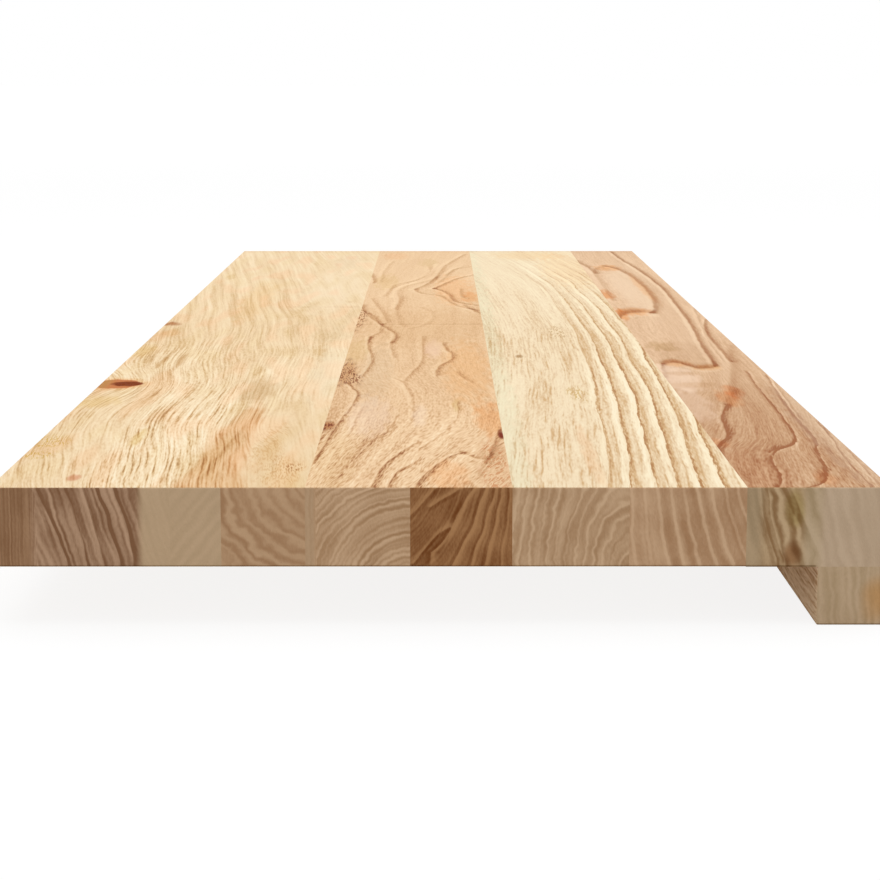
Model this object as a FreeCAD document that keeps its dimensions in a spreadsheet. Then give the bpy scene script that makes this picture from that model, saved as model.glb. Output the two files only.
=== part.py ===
import FreeCAD, Part
import os

import Sketcher

# Stair tread: staves of one thickness glued edge to edge, with a strip glued under the front
# stave that deepens the front edge. +X points to the front of the step, +Y runs along its length
# and +Z is up. The origin is in the middle of the tread, level with the underside of the strip.

STAVES = [
    "stave_1_back",
    "stave_2",
    "stave_3",
    "stave_4",
    "stave_5",
    "stave_6",
    "stave_7",
    "stave_8_front",
]
STRIP = "nosing_strip"

# Driving dimensions in millimetres. Stave widths are listed from the back edge to the front.
SIZES = {
    "tread_length": 1000.0,
    "tread_thickness": 27.0,
    "stave_1_back_width": 60.0,
    "stave_2_width": 17.0,
    "stave_3_width": 28.0,
    "stave_4_width": 35.0,
    "stave_5_width": 34.0,
    "stave_6_width": 39.0,
    "stave_7_width": 39.0,
    "stave_8_front_width": 48.0,
    "strip_width": 24.0,
    "strip_drop": 20.0,
    "arris_radius": 0.6,
}

TREAD_DEPTH = " + ".join(f"sizes.{name}_width" for name in STAVES)

# Side of the square that every section is first drawn as, before its own sizes stretch it.
FIRST_DRAFT = 10.0


def make_sheet(doc):
    """Put each driving dimension in a cell of its own, under its name."""
    sheet = doc.addObject("Spreadsheet::Sheet", "sizes")
    for row, (name, value) in enumerate(SIZES.items(), start=1):
        sheet.set(f"A{row}", name)
        sheet.set(f"B{row}", str(value))
        sheet.setAlias(f"B{row}", name)
    doc.recompute()
    return sheet


def origin_plane(body, role):
    """One of the three base planes of a body."""
    return next(item for item in body.Origin.OriginFeatures if item.Role == role)


def section_sketch(body, width, height):
    """The rectangle seen on the end of a piece, with its lower back corner at the body's origin."""
    sketch = body.newObject("Sketcher::SketchObject", f"{body.Name}_section")
    sketch.AttachmentSupport = [(origin_plane(body, "XZ_Plane"), "")]
    sketch.MapMode = "FlatFace"
    corners = [
        FreeCAD.Vector(0, 0, 0),
        FreeCAD.Vector(FIRST_DRAFT, 0, 0),
        FreeCAD.Vector(FIRST_DRAFT, FIRST_DRAFT, 0),
        FreeCAD.Vector(0, FIRST_DRAFT, 0),
    ]
    for start, end in zip(corners, corners[1:] + corners[:1]):
        sketch.addGeometry(Part.LineSegment(start, end), False)
    for side in range(4):
        sketch.addConstraint(Sketcher.Constraint("Coincident", side, 2, (side + 1) % 4, 1))
    for side in (0, 2):
        sketch.addConstraint(Sketcher.Constraint("Horizontal", side))
    for side in (1, 3):
        sketch.addConstraint(Sketcher.Constraint("Vertical", side))
    sketch.addConstraint(Sketcher.Constraint("Coincident", 0, 1, -1, 1))
    for name, kind, side, expression in (
        ("width", "DistanceX", 0, width),
        ("height", "DistanceY", 1, height),
    ):
        index = sketch.addConstraint(Sketcher.Constraint(kind, side, 1, side, 2, FIRST_DRAFT))
        sketch.renameConstraint(index, name)
        sketch.setExpression(f"Constraints.{name}", expression)
    return sketch


def sawn_length(body, sketch):
    """The section drawn out along the whole length of the tread, half to each side of its middle."""
    pad = body.newObject("PartDesign::Pad", f"{body.Name}_length")
    pad.Profile = sketch
    pad.SideType = "Symmetric"
    pad.setExpression("Length", "sizes.tread_length")
    return pad


def edges_on(pad, faces):
    """Names of the edges that lie on two outside faces of a piece at once.

    A face is an axis and the end of the piece's own box that it closes, such as ("Z", "Max").
    """
    box = pad.Shape.BoundBox
    names = []
    for number, edge in enumerate(pad.Shape.Edges, start=1):
        middle = edge.BoundBox.Center
        touched = 0
        for axis, end in faces:
            gap = getattr(middle, axis.lower()) - getattr(box, axis + end)
            touched += abs(gap) < Part.Precision.confusion()
        if touched == 2:
            names.append(f"Edge{number}")
    return names


def eased(body, pad, faces):
    """Sanded arrises: every edge between two of the outside faces, slightly rounded."""
    fillet = body.newObject("PartDesign::Fillet", f"{body.Name}_arrises")
    fillet.Base = (pad, edges_on(pad, faces))
    fillet.setExpression("Radius", "sizes.arris_radius")
    return fillet


def make_piece(doc, label, width, height, place, outside):
    """One straight piece of timber.

    Args: its label, expressions for the width and height of its section, expressions for the place
    of its lower back corner, and the faces that stay in the open once it is glued in.
    """
    body = doc.addObject("PartDesign::Body", label)
    body.Label = label
    sketch = section_sketch(body, width, height)
    pad = sawn_length(body, sketch)
    for axis, expression in place.items():
        body.setExpression(f".Placement.Base.{axis}", expression)
    doc.recompute()
    body.Tip = eased(body, pad, outside)
    doc.recompute()
    return body


def make_tread(doc):
    """All pieces: the staves from back to front, then the strip under the front one."""
    ends = [("Y", "Min"), ("Y", "Max")]
    top = ("Z", "Max")
    underside = ("Z", "Min")
    back = ("X", "Min")
    front = ("X", "Max")
    outside = {name: ends + [top, underside] for name in STAVES}
    outside[STAVES[0]] = ends + [top, underside, back]
    outside[STAVES[-1]] = ends + [top, front]
    pieces = []
    start = f"-({TREAD_DEPTH}) / 2"
    for name in STAVES:
        place = {"x": start, "z": "sizes.strip_drop"}
        width = f"sizes.{name}_width"
        pieces.append(make_piece(doc, name, width, "sizes.tread_thickness", place, outside[name]))
        start += f" + {width}"
    place = {"x": f"{start} - sizes.strip_width"}
    faces = ends + [underside, back, front]
    pieces.append(make_piece(doc, STRIP, "sizes.strip_width", "sizes.strip_drop", place, faces))
    return pieces


def check(doc, pieces):
    """Stop if anything in the document failed or a piece is not one sound solid."""
    for item in doc.Objects:
        if "Invalid" in item.State or "Error" in item.State:
            raise RuntimeError(f"{item.Label} failed: {item.State}")
    for piece in pieces:
        shape = piece.Shape
        if shape.isNull() or not shape.isValid() or len(shape.Solids) != 1:
            raise RuntimeError(f"{piece.Label} is not one sound solid")


def main():
    """Model the tread and write one file for each piece."""
    doc = FreeCAD.newDocument("stair_tread")
    make_sheet(doc)
    pieces = make_tread(doc)
    doc.recompute()
    check(doc, pieces)
    os.makedirs("parts", exist_ok=True)
    for piece in pieces:
        piece.Shape.exportStep(f"parts/{piece.Label}.step")


main()
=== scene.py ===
"""Oak stair tread: a board glued up from staves, with a strip under its front edge.

The solids of the staves and the strip come from model.glb and keep their shape. This script draws
the oak on them, sets up a plain studio and places the camera. Grain is drawn in millimetres:
across is measured from the back edge, along from the near end and height from the underside of
the board.
"""

import logging
import math
from collections.abc import Sequence
from dataclasses import dataclass, field
from enum import Enum
from typing import Union

import bpy
from mathutils import Color, Euler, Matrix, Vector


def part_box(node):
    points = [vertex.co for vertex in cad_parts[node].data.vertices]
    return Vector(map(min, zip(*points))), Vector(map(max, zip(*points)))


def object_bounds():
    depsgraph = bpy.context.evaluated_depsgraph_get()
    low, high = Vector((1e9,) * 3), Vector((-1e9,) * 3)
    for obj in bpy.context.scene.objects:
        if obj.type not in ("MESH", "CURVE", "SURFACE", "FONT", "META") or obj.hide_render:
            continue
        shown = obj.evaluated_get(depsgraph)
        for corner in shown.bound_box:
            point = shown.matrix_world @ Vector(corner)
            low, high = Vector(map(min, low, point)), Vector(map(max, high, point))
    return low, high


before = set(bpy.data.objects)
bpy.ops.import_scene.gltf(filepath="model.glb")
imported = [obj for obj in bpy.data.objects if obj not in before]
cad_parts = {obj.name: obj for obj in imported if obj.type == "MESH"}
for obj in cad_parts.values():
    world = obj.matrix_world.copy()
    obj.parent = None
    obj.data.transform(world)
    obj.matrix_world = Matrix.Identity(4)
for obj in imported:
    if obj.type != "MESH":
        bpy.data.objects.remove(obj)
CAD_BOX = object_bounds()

LOG = logging.getLogger("stair_tread")

MM = 0.001
BACK_EDGE = CAD_BOX[0].x
NEAR_END = CAD_BOX[0].y
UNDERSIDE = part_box("stave_1_back")[0].z

# Noise nodes keep close to their middle value; this spreads what they give over -1 to 1.
NOISE_SPREAD = 3.6

# How far the seed moves a noise along each axis, for every 1 of the seed.
SEED_STEP = (7.31, 3.77, 5.19)

# Share of a face's direction that points up or endways: where the face begins to count as level
# or as an end, and where it wholly does.
LEVEL_FROM = (0.4, 0.7)
END_FROM = (0.5, 0.8)

# How far a growth line is felt, in line widths, and a patch, in reaches.
LINE_REACH = 4.0
PATCH_REACH = 1.4

# Where a patch begins, in reaches squared, how uneven it is there, and the wavers of the pores at
# which the grit of a gritty one begins and is full.
PATCH_EDGE = 1.3
PATCH_FRAY = 0.35
PATCH_GRIT = (-0.1, 0.45)

Number = Union["Signal", float]
Point = tuple[float, float]
Path = tuple[Point, ...]


class Signal:
    """A number that varies over a surface, held by one output of a shader node."""

    def __init__(self, bench: "Bench", socket: bpy.types.NodeSocket) -> None:
        """Keep the bench that the node stands on and the output that carries the number."""
        self.bench = bench
        self.socket = socket

    def __add__(self, other: Number) -> "Signal":
        """This number plus another."""
        return self.bench.math("ADD", self, other)

    __radd__ = __add__

    def __sub__(self, other: Number) -> "Signal":
        """This number less another."""
        return self.bench.math("SUBTRACT", self, other)

    def __rsub__(self, other: Number) -> "Signal":
        """Another number less this one."""
        return self.bench.math("SUBTRACT", other, self)

    def __mul__(self, other: Number) -> "Signal":
        """This number times another."""
        return self.bench.math("MULTIPLY", self, other)

    __rmul__ = __mul__


Spot = tuple[Signal, Signal]


@dataclass(frozen=True)
class Tone:
    """A colour as it looks in plain light, each channel from 0 to 255."""

    red: int
    green: int
    blue: int

    def linear(self) -> tuple[float, float, float, float]:
        """The colour as the shader counts it, with full cover."""
        seen = Color((self.red / 255, self.green / 255, self.blue / 255))
        return (*seen.from_srgb_to_scene_linear(), 1.0)


Paint = Union[Tone, bpy.types.NodeSocket]


class Blend(Enum):
    """How a colour is laid over another: it covers it, or it washes it like thin stain."""

    COVER = "MIX"
    WASH = "MULTIPLY"


@dataclass(frozen=True)
class Waver:
    """Half the length of a random waver across the grain, along it and into the piece."""

    across: float
    along: float
    depth: float = 30.0


WAVES = Waver(26.0, 130.0)
RIPPLES = Waver(9.0, 60.0)
FRAY = Waver(2.6, 14.0)
BROAD = Waver(10.0, 190.0)
STREAK = Waver(1.0, 60.0, 9.0)
LONG_STREAK = Waver(2.2, 170.0, 9.0)
DASH = Waver(0.8, 16.0, 9.0)
PORE = Waver(0.55, 5.5, 1.3)

# Wavers of a sawn end. The first two bend the rings, the third varies them, the last clouds them.
RING_BEND = Waver(9.0, 40.0, 7.0)
RING_WAVER = Waver(2.8, 40.0, 2.4)
RING_MIX = Waver(0.45, 40.0, 30.0)
RING_CLOUD = Waver(11.0, 40.0, 9.0)


class Bench:
    """The nodes of one material or of the world, with the few operations used to draw in them."""

    def __init__(self, owner: Union[bpy.types.Material, bpy.types.World]) -> None:
        """Clear the nodes of a material or of the world.

        Args:
            owner: the material or the world.
        """
        owner.use_nodes = True
        self.tree = owner.node_tree
        self.tree.nodes.clear()

    def node(self, kind: str, *values: object, **settings: object) -> bpy.types.Node:
        """A new node.

        Args:
            kind: the node's type.
            values: what goes into its first inputs, in order.
            settings: its settings by name.

        Returns:
            The node.
        """
        made = self.tree.nodes.new(kind)
        for name, setting in settings.items():
            setattr(made, name, setting)
        for socket, value in zip(made.inputs, values):
            self.feed(socket, value)
        return made

    def feed(self, socket: bpy.types.NodeSocket, value: object) -> None:
        """Give a node's input its value.

        Args:
            socket: the input.
            value: a number, a vector, a tone, a signal or another node's output.
        """
        if isinstance(value, Signal):
            self.tree.links.new(value.socket, socket)
        elif isinstance(value, bpy.types.NodeSocket):
            self.tree.links.new(value, socket)
        elif isinstance(value, Tone):
            socket.default_value = value.linear()
        else:
            socket.default_value = value

    def math(self, operation: str, *values: Number) -> Signal:
        """One step of arithmetic, by the name of the math node's operation."""
        return Signal(self, self.node("ShaderNodeMath", *values, operation=operation).outputs[0])

    def scaled(self, value: Number, factor: float, offset: float) -> Signal:
        """A number times a factor, plus an offset."""
        return self.math("MULTIPLY_ADD", value, factor, offset)

    def beyond(self, value: Number, middle: float, reach: float) -> Signal:
        """How far a number lies from a middle, counted in reaches."""
        return self.scaled(value, 1 / reach, -middle / reach)

    def blend(self, first: Number, second: Signal, share: Signal) -> Signal:
        """From the first number to the second, by the second's share."""
        return self.math("MULTIPLY_ADD", second - first, share, first)

    def step(self, value: Number, start: float, stop: float, height: float = 1.0) -> Signal:
        """A smooth rise from 0 at start to height at stop, which may lie below start.

        Args:
            value: the number to read.
            start: where the rise begins.
            stop: where it ends.
            height: what it reaches.

        Returns:
            The height of the rise.
        """
        limits = (start, stop, 0.0, height)
        made = self.node("ShaderNodeMapRange", value, *limits, interpolation_type="SMOOTHSTEP")
        return Signal(self, made.outputs[0])

    def window(self, value: Signal, low: float, high: float, soft: float) -> Signal:
        """1 between two limits, falling off over a soft border outside them."""
        return self.step(value, low - soft, low) * self.step(value, high + soft, high)

    def vector(self, *numbers: Number) -> bpy.types.NodeSocket:
        """Three numbers joined into one vector."""
        return self.node("ShaderNodeCombineXYZ", *numbers).outputs[0]

    def split(self, vector: bpy.types.NodeSocket) -> list[Signal]:
        """The three numbers of a vector."""
        return [Signal(self, item) for item in self.node("ShaderNodeSeparateXYZ", vector).outputs]

    def noise(self, where: bpy.types.NodeSocket, waver: Waver, seed: float) -> Signal:
        """A random waver between about -1 and 1.

        Args:
            where: the place to read, in millimetres.
            waver: its lengths.
            seed: picks another waver of the same kind.

        Returns:
            The waver.
        """
        scale = (1 / waver.across, 1 / waver.along, 1 / waver.depth)
        shift = [seed * step for step in SEED_STEP]
        moved = self.node("ShaderNodeVectorMath", where, scale, shift, operation="MULTIPLY_ADD")
        made = self.node("ShaderNodeTexNoise", moved.outputs[0], noise_dimensions="3D")
        self.feed(made.inputs["Scale"], 1.0)
        self.feed(made.inputs["Detail"], 0.0)
        return self.scaled(Signal(self, made.outputs[0]), NOISE_SPREAD, -NOISE_SPREAD / 2)

    def seen(self) -> Signal:
        """1 where the camera looks, straight on or by way of a gloss or of something clear, else 0.

        Returns:
            The number.
        """
        rays = self.node("ShaderNodeLightPath").outputs
        kinds = ("Is Camera Ray", "Is Glossy Ray", "Is Transmission Ray")
        straight, gloss, clear = (Signal(self, rays[kind]) for kind in kinds)
        return self.math("MAXIMUM", straight, self.math("MAXIMUM", gloss, clear))

    def curve(self, value: Number, path: Sequence[Point]) -> Signal:
        """A smooth curve through a few points, level beyond its ends.

        Args:
            value: the number to read.
            path: pairs of what is read and what is given out, in rising order of the first.

        Returns:
            What the curve gives out.
        """
        first, last = path[0][0], path[-1][0]
        low = min(point[1] for point in path)
        span = max(point[1] for point in path) - low or 1.0
        made = self.node("ShaderNodeFloatCurve")
        made.mapping.extend = "HORIZONTAL"
        line = made.mapping.curves[0]
        spots = [((x - first) / (last - first), (y - low) / span) for x, y in path]
        for handle, spot in zip(line.points, (spots[0], spots[-1])):
            handle.location = spot
        for spot in spots[1:-1]:
            line.points.new(*spot)
        made.mapping.update()
        self.feed(made.inputs["Value"], self.beyond(value, first, last - first))
        return self.scaled(Signal(self, made.outputs[0]), span, low)

    def ramp(self, value: Signal, tones: Sequence[Tone]) -> bpy.types.NodeSocket:
        """Colour by brightness.

        Args:
            value: brightness from -1 to 1.
            tones: colours from the darkest to the lightest, evenly spread.

        Returns:
            The colour.
        """
        # The ramp itself runs from 0 to 1.
        made = self.node("ShaderNodeValToRGB", self.scaled(value, 0.5, 0.5))
        marks = made.color_ramp.elements
        while len(marks) < len(tones):
            marks.new(0.5)
        for index, tone in enumerate(tones):
            marks[index].position = index / (len(tones) - 1)
            marks[index].color = tone.linear()
        return made.outputs["Color"]

    def lay(
        self, under: Paint, over: Paint, share: Number, how: Blend = Blend.COVER
    ) -> bpy.types.NodeSocket:
        """One colour laid over another.

        Args:
            under: the colour below.
            over: the colour on top.
            share: how much of it takes, from 0 to 1.
            how: the way that it is laid.

        Returns:
            The colour of both.
        """
        made = self.node("ShaderNodeMix", data_type="RGBA", blend_type=how.value)
        for name, value in (("Factor_Float", share), ("A_Color", under), ("B_Color", over)):
            socket = next(item for item in made.inputs if item.identifier == name)
            self.feed(socket, value)
        return next(item for item in made.outputs if item.identifier == "Result_Color")


@dataclass(frozen=True)
class Layer:
    """A colour that is laid where a number passes an edge: where it begins and where it is full."""

    tone: Tone
    edge: Point
    share: float = 1.0
    how: Blend = Blend.COVER

    def lay(self, colour: Paint, value: Signal, mask: Number = 1.0) -> Paint:
        """The colour with the layer on it, by the number at the edge and as far as a mask lets it."""
        taken = value.bench.step(value, *self.edge, self.share) * mask
        return value.bench.lay(colour, self.tone, taken, self.how)


class Place:
    """Where a point of the surface is on the tread, in millimetres, and which way it faces."""

    def __init__(self, bench: Bench) -> None:
        """Read the point's place and facing.

        Args:
            bench: where to draw.
        """
        self.bench = bench
        x, y, z = bench.split(bench.node("ShaderNodeTexCoord").outputs["Object"])
        facing = bench.split(bench.node("ShaderNodeNewGeometry").outputs["True Normal"])
        endward, upward = facing[1], facing[2]
        self.across = bench.scaled(x, 1 / MM, -BACK_EDGE / MM)
        self.along = bench.scaled(y, 1 / MM, -NEAR_END / MM)
        self.height = bench.scaled(z, 1 / MM, -UNDERSIDE / MM)
        self.top = bench.step(upward, *LEVEL_FROM)
        self.level = bench.step(bench.math("ABSOLUTE", upward), *LEVEL_FROM)
        self.end = bench.step(bench.math("ABSOLUTE", endward), *END_FROM)


@dataclass
class Grain:
    """What the wood does at each point of a long face.

    Side is the distance across the face, flow the distance across the grain, both in millimetres.
    The others waver between about -1 and 1, from the broadest to the finest.
    """

    place: Place
    side: Signal
    depth: Signal
    waves: Signal
    ripples: Signal
    fray: Signal
    flow: Signal | None = None
    broad: Signal | None = None
    streak: Signal | None = None
    dash: Signal | None = None
    pore: Signal | None = None

    @property
    def bench(self) -> Bench:
        """Where the wood is drawn."""
        return self.place.bench


class Run(Enum):
    """Which way a growth line mainly runs on its face."""

    ALONG = "along"
    ACROSS = "across"


def comes_near(low: float, high: float, reach: float, limits: Point) -> bool:
    """Whether a stretch across, widened by a reach at both sides, comes within these limits."""
    return low - reach < limits[1] and high + reach > limits[0]


# Brightness beside a growth line, by distance from its middle in line widths: a painted highlight as
# a pale rim on one side, the sharp dark start of the porous wood, and its slow fade.
LINE_PROFILE_WITH_HIGHLIGHT = (
    (-2.4, 0.0), (-1.2, 0.35), (-0.6, -0.15), (0.0, -1.0), (0.6, -0.8), (1.4, -0.3), (2.8, 0.0),
)


@dataclass(frozen=True)
class GrainLine:
    """One growth line.

    The path holds points across and along the tread, or across and up on a sawn end. Flip puts the
    pale rim, a painted highlight, on the other side, and a strength below 0 makes the line pale.
    """

    path: Path
    width: float
    strength: float = 1.0
    run: Run = Run.ALONG
    fade: float = 8.0
    flip: bool = False

    def touches(self, limits: Point) -> bool:
        """Whether the line comes near a stave with these limits across."""
        places = [point[0] for point in self.path]
        return comes_near(min(places), max(places), LINE_REACH * self.width, limits)

    def tone(self, spot: Spot, jitter: Signal) -> Signal:
        """What the line adds to the brightness of the face.

        Args:
            spot: the two distances that place the line.
            jitter: sideways waver that frays the line, in millimetres.

        Returns:
            The added brightness.
        """
        bench = jitter.bench
        if self.run is Run.ALONG:
            steps = sorted((second, first) for first, second in self.path)
            offset, position = spot
        else:
            steps = sorted(self.path)
            position, offset = spot
        gap = offset + jitter - bench.curve(position, steps)
        scale = (-1 if self.flip else 1) / self.width
        body = bench.curve(gap * scale, LINE_PROFILE_WITH_HIGHLIGHT)
        return body * bench.window(position, steps[0][0], steps[-1][0], self.fade) * self.strength


@dataclass(frozen=True)
class Patch:
    """A soft patch of another colour: a stain, a spot or, if gritty, a cluster of dark pores.

    On a sawn end the middle and the reach are across and up, on other faces across and along.
    """

    middle: Point
    reach: Point
    tone: Tone
    share: float = 0.8
    how: Blend = Blend.WASH
    gritty: bool = False

    def touches(self, limits: Point) -> bool:
        """Whether the patch comes near a stave with these limits across."""
        return comes_near(self.middle[0], self.middle[0], PATCH_REACH * self.reach[0], limits)

    def lay(self, spot: Spot, colour: Paint, fray: Signal, pore: Signal) -> Paint:
        """The face's colour with the patch on it.

        Args:
            spot: the two distances that place the patch.
            colour: the colour so far.
            fray: waver that makes the outline uneven.
            pore: waver that breaks a gritty patch up.

        Returns:
            The new colour.
        """
        bench = fray.bench
        dx = bench.beyond(spot[0], self.middle[0], self.reach[0])
        dy = bench.beyond(spot[1], self.middle[1], self.reach[1])
        distance = bench.math("MULTIPLY_ADD", dx, dx, dy * dy)
        mask = bench.step(distance + PATCH_FRAY * fray, PATCH_EDGE, 0.0, self.share)
        if self.gritty:
            mask = mask * bench.step(pore, *PATCH_GRIT)
        return bench.lay(colour, self.tone, mask, self.how)


@dataclass(frozen=True)
class Shares:
    """How strongly each waver of the grain counts in a mix of them."""

    broad: float = 0.0
    streak: float = 0.0
    dash: float = 0.0
    pore: float = 0.0

    def mixed(self, grain: Grain) -> Signal:
        """The wavers of the grain, added up by their shares.

        Args:
            grain: the wood at each point.

        Returns:
            The sum.
        """
        wavers = (
            (self.broad, grain.broad), (self.streak, grain.streak),
            (self.dash, grain.dash), (self.pore, grain.pore),
        )
        return sum(share * waver for share, waver in wavers if share)


@dataclass(frozen=True)
class OakFace:
    """A long face of oak with straight, slightly wavy grain.

    Pieces with the same seed share one run of grain. Shares mixes the fine grain's brightness. Fray
    is how far growth lines waver to the side, in millimetres, and pore fray the part of it that
    follows the pores. Rise is brightness that changes along the tread, and calm is the share of
    the fine grain's contrast that shows there.
    """

    tones: tuple[Tone, ...]
    seed: float = 0.0
    shares: Shares = Shares(0.25, 0.45, 0.3, 0.25)
    wave: float = 3.0
    ripple: float = 0.8
    lines: tuple[GrainLine, ...] = ()
    patches: tuple[Patch, ...] = ()
    fray: float = 0.35
    pore_fray: float = 0.5
    rise: Path = ()
    calm: Path = ()

    def waving(self, grain: Grain) -> Signal:
        """The sideways waver of the grain, in millimetres."""
        return self.wave * grain.waves + self.ripple * grain.ripples

    def flow(self, grain: Grain) -> Signal:
        """Distance across the grain, in millimetres."""
        return grain.side + self.waving(grain)

    def lift(self, grain: Grain) -> Number:
        """Changes of brightness that belong to this face alone."""
        return 0.0

    def hush(self, grain: Grain) -> Number:
        """Share of the fine grain's contrast that shows."""
        return grain.bench.curve(grain.place.along, self.calm) if self.calm else 1.0

    def stain(self, grain: Grain, colour: Paint) -> Paint:
        """The colour after marks that belong to this face alone."""
        return colour

    def draw(self, grain: Grain, limits: Point) -> Paint:
        """The colour of the face.

        Args:
            grain: the wood at each point.
            limits: the back and front edge of the piece, in millimetres across.

        Returns:
            The colour.
        """
        bench = grain.bench
        spot = (grain.place.across, grain.place.along)
        tone = (self.shares.mixed(grain) + self.lift(grain)) * self.hush(grain)
        if self.rise:
            tone = tone + bench.curve(grain.place.along, self.rise)
        jitter = self.fray * (grain.fray + self.pore_fray * grain.pore)
        for line in self.lines:
            if line.touches(limits):
                tone = tone + line.tone(spot, jitter)
        colour = bench.ramp(tone, self.tones)
        for patch in self.patches:
            if patch.touches(limits):
                colour = patch.lay(spot, colour, grain.fray, grain.pore)
        return self.stain(grain, colour)


@dataclass(frozen=True)
class Knot:
    """A knot at the back edge: a dark spindle that points into the board, with a bark rim.

    Its outline is read in reaches from the middle: belly rounds it, point makes it pointed and fray
    uneven. Ochre stands on its outer side only. The heart has a middle and a squeeze of its own.
    """

    middle: Point = (7, 250)
    reach: Point = (12, 15)
    belly: float = 0.6
    point: float = 0.4
    fray: float = 0.12
    halo: Layer = Layer(Tone(248, 224, 196), (2.2, 0.9), 0.7, Blend.WASH)
    bark: Layer = Layer(Tone(200, 124, 76), (1.1, 0.8))
    ochre: Layer = Layer(Tone(186, 140, 80), (1.05, 0.75), 0.7)
    ochre_side: Point = (7, 2)
    heart: Layer = Layer(Tone(126, 56, 18), (1.15, 0.5))
    heart_middle: Point = (0.4, 0.05)
    heart_squeeze: Point = (2.4, 3.2)
    heart_fray: float = 0.2

    def lay(self, grain: Grain, colour: Paint) -> Paint:
        """The face's colour with the knot on it.

        Args:
            grain: the wood at each point.
            colour: the colour so far.

        Returns:
            The new colour.
        """
        bench, across = grain.bench, grain.place.across
        dx = bench.beyond(across, self.middle[0], self.reach[0])
        dy = bench.beyond(grain.place.along, self.middle[1], self.reach[1])
        pointed = bench.math("ABSOLUTE", dy) * self.point
        shape = dx * dx + dy * dy * self.belly + pointed + self.fray * grain.fray
        colour = self.bark.lay(self.halo.lay(colour, shape), shape)
        colour = self.ochre.lay(colour, shape, bench.step(across, *self.ochre_side))
        inner = dx - self.heart_middle[0]
        raised = dy - self.heart_middle[1]
        core = inner * inner * self.heart_squeeze[0] + raised * raised * self.heart_squeeze[1]
        return self.heart.lay(colour, core + self.heart_fray * grain.fray)


@dataclass(frozen=True)
class Tongue:
    """A tan tongue that runs into the cream from the near end, with darker streaks.

    Back and front are its two sides, as distance along and distance across. Each edge says where
    the tan begins and where it is full, in millimetres from the side. Tip does so along the tread.
    """

    back: Path = ((0, 60.5), (50, 63.8), (90, 65), (130, 67.6), (165, 70), (185, 73))
    back_edge: Point = (-2.5, 2)
    front: Path = ((0, 86), (50, 81), (100, 80), (140, 80), (165, 79), (185, 76))
    front_edge: Point = (-3, 3)
    ripple: float = 0.8
    dash: float = 0.7
    tip: Point = (196, 168)
    tip_fray: float = 8.0
    wash: Tone = Tone(244, 228, 213)
    streak: Layer = Layer(Tone(245, 233, 220), (0.1, -0.9), how=Blend.WASH)
    streak_mix: Shares = Shares(streak=1.0, dash=0.4)

    def lay(self, grain: Grain, colour: Paint) -> Paint:
        """The face's colour with the tongue on it.

        Args:
            grain: the wood at each point.
            colour: the colour so far.

        Returns:
            The new colour.
        """
        bench, along = grain.bench, grain.place.along
        uneven = grain.place.across + self.ripple * grain.ripples + self.dash * grain.dash
        inside = bench.step(uneven - bench.curve(along, self.back), *self.back_edge)
        inside = inside * bench.step(bench.curve(along, self.front) - uneven, *self.front_edge)
        inside = inside * bench.step(along + self.tip_fray * grain.fray, *self.tip)
        colour = bench.lay(colour, self.wash, inside, Blend.WASH)
        return self.streak.lay(colour, self.streak_mix.mixed(grain), inside)


@dataclass(frozen=True)
class Zone:
    """Part of a face, by limits across or along, where the fine grain's contrast differs.

    Soft is the width of its border, and fall where it begins and is whole in the other direction.
    """

    limits: Point
    soft: float
    fall: Point
    share: float

    def mask(self, held: Signal, other: Signal) -> Signal:
        """The zone's change of contrast, from the distance that limits it and the other one."""
        inside = held.bench.window(held, *self.limits, self.soft)
        return inside * other.bench.step(other, *self.fall, self.share)


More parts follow.
